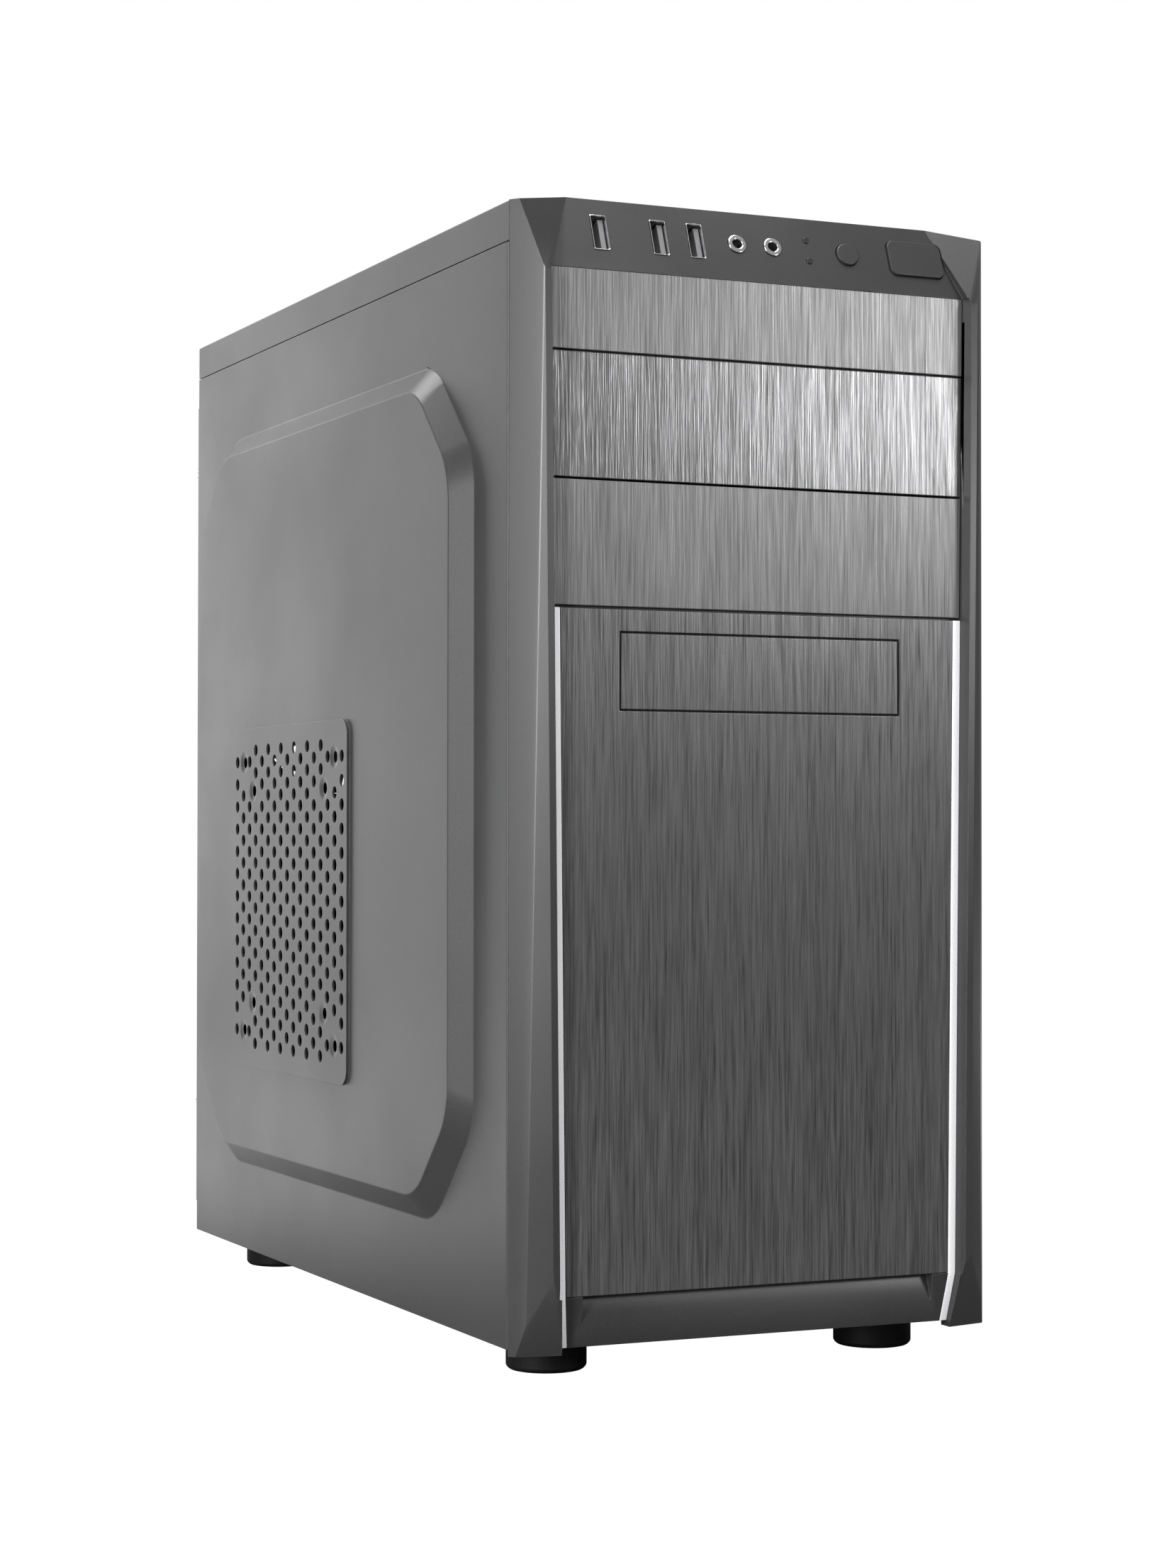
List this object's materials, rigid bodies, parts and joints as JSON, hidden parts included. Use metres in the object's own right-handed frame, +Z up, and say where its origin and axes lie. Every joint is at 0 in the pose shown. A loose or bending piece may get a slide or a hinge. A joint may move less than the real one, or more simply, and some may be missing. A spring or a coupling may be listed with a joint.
{
  "type": "desktop computer tower",
  "caption": "Compact desktop computer tower with a steel case, a faceted bezel, pull-out bay covers, working buttons, sliding side panels and spinning fans.",
  "frame": {"origin": "on the floor, under the centre of the case and its thumbscrews", "axes": "+Z up, front (bezel) towards -Y, +X to the right seen from the front"},
  "size_m": [0.1908, 0.355, 0.385],
  "materials": {
    "bezel_plastic": "fine spark grain",
    "black_plastic": "moulded",
    "brass": "turned",
    "brushed_plastic": "vertical brushed lines",
    "button_plastic": "semi gloss",
    "case_steel": "satin powder coat",
    "circuit_board": "solder mask",
    "connector_shell": "tinned",
    "drive_metal": "cast",
    "fan_plastic": "moulded",
    "foot_rubber": "matt",
    "guard_wire": "bright",
    "heatsink_metal": "extruded",
    "lamp_plastic": "diffusing",
    "pale_strip": "satin",
    "port_chrome": "bright",
    "port_tongue": "moulded",
    "psu_paint": "satin",
    "rotor_plastic": "moulded",
    "screw_steel": "plated",
    "side_panel_paint": "satin powder coat",
    "zinc_steel": "zinc plated"
  },
  "bodies": {
    "chassis": {"audio_jacks": "port_chrome", "base_pan": "case_steel", "board_connectors": "connector_shell", "board_fittings": "black_plastic", "board_screws": "screw_steel", "brushed_front_panel": "brushed_plastic", "brushed_top_strip": "brushed_plastic", "chipset_heatsink": "heatsink_metal", "cpu_fan_frame": "fan_plastic", "cpu_heatsink": "heatsink_metal", "cpu_socket": "black_plastic", "drive_bay_cage": "zinc_steel", "drive_screws": "screw_steel", "expansion_slot_covers": "zinc_steel", "expansion_sockets": "black_plastic", "feet": "foot_rubber", "foot_screws": "screw_steel", "front_bezel": "bezel_plastic", "front_frame": "case_steel", "front_port_board": "circuit_board", "front_switches": "black_plastic", "hard_drive": "drive_metal", "io_shield": "zinc_steel", "lamp_pipes": "lamp_plastic", "light_strips": "pale_strip", "memory_module": "circuit_board", "memory_slots": "black_plastic", "motherboard": "circuit_board", "motherboard_tray": "zinc_steel", "optical_bay_cage": "zinc_steel", "psu_case": "psu_paint", "psu_fan_frame": "fan_plastic", "psu_fan_guard": "guard_wire", "psu_inlet": "black_plastic", "psu_inlet_pins": "brass", "psu_switch_frame": "black_plastic", "rear_fan_frame": "fan_plastic", "rear_panel": "case_steel", "rear_panel_screws": "screw_steel", "standoffs": "brass", "top_cover": "case_steel", "usb_port_shells": "port_chrome", "usb_port_tongues": "port_tongue"},
    "left_side_panel": {"left_side_panel": "side_panel_paint"},
    "right_side_panel": {"right_side_panel": "side_panel_paint"},
    "power_button": {"power_button": "button_plastic", "power_switch_plunger": "black_plastic"},
    "reset_button": {"reset_button": "button_plastic", "reset_switch_plunger": "black_plastic"},
    "bay_cover_upper": {"bay_cover_upper": "brushed_plastic"},
    "bay_cover_lower": {"bay_cover_lower": "brushed_plastic"},
    "small_bay_cover": {"small_bay_cover": "brushed_plastic"},
    "rear_fan_rotor": {"rear_fan_rotor": "rotor_plastic"},
    "cpu_fan_rotor": {"cpu_fan_rotor": "rotor_plastic"},
    "psu_fan_rotor": {"psu_fan_rotor": "rotor_plastic"},
    "psu_rocker": {"psu_rocker": "black_plastic"},
    "thumbscrew_left_lower": {"thumbscrew_left_lower": "screw_steel"},
    "thumbscrew_left_upper": {"thumbscrew_left_upper": "screw_steel"},
    "thumbscrew_right_lower": {"thumbscrew_right_lower": "screw_steel"},
    "thumbscrew_right_upper": {"thumbscrew_right_upper": "screw_steel"}
  },
  "joints": [
    {"name": "power_button_press", "type": "slide", "parent": "chassis", "child": "power_button", "axis": [0, 0.9397, -0.342], "range_m": [0, 0.0015], "stiffness_N_per_m": 1200},
    {"name": "reset_button_press", "type": "slide", "parent": "chassis", "child": "reset_button", "axis": [0, 0.9397, -0.342], "range_m": [0, 0.001], "stiffness_N_per_m": 1200},
    {"name": "left_panel_slide", "type": "slide", "parent": "chassis", "child": "left_side_panel", "axis": [0, 1, 0], "range_m": [0, 0.015]},
    {"name": "right_panel_slide", "type": "slide", "parent": "chassis", "child": "right_side_panel", "axis": [0, 1, 0], "range_m": [0, 0.015]},
    {"name": "bay_cover_upper_pull", "type": "slide", "parent": "chassis", "child": "bay_cover_upper", "axis": [0, -1, 0], "range_m": [0, 0.022]},
    {"name": "bay_cover_lower_pull", "type": "slide", "parent": "chassis", "child": "bay_cover_lower", "axis": [0, -1, 0], "range_m": [0, 0.022]},
    {"name": "small_bay_cover_pull", "type": "slide", "parent": "chassis", "child": "small_bay_cover", "axis": [0, -1, 0], "range_m": [0, 0.022]},
    {"name": "thumbscrew_left_lower_turn", "type": "hinge", "parent": "left_side_panel", "child": "thumbscrew_left_lower", "pos_m": [-0.0822, 0.1695, 0.064], "axis": [0, 1, 0], "continuous": true},
    {"name": "thumbscrew_left_upper_turn", "type": "hinge", "parent": "left_side_panel", "child": "thumbscrew_left_upper", "pos_m": [-0.0822, 0.1695, 0.33], "axis": [0, 1, 0], "continuous": true},
    {"name": "thumbscrew_right_lower_turn", "type": "hinge", "parent": "right_side_panel", "child": "thumbscrew_right_lower", "pos_m": [0.0822, 0.1695, 0.064], "axis": [0, 1, 0], "continuous": true},
    {"name": "thumbscrew_right_upper_turn", "type": "hinge", "parent": "right_side_panel", "child": "thumbscrew_right_upper", "pos_m": [0.0822, 0.1695, 0.33], "axis": [0, 1, 0], "continuous": true},
    {"name": "rear_fan_spin", "type": "hinge", "parent": "chassis", "child": "rear_fan_rotor", "pos_m": [-0.03122, 0.1687, 0.2382], "axis": [0, -1, 0], "continuous": true},
    {"name": "cpu_fan_spin", "type": "hinge", "parent": "chassis", "child": "cpu_fan_rotor", "pos_m": [0.0203, 0.0647, 0.214], "axis": [1, 0, 0], "continuous": true},
    {"name": "psu_fan_spin", "type": "hinge", "parent": "chassis", "child": "psu_fan_rotor", "pos_m": [0, 0.0987, 0.2952], "axis": [0, 0, 1], "continuous": true},
    {"name": "psu_rocker_tilt", "type": "hinge", "parent": "chassis", "child": "psu_rocker", "pos_m": [0.012, 0.1662, 0.3382], "axis": [1, 0, 0], "range_deg": [-9, 9]}
  ]
}
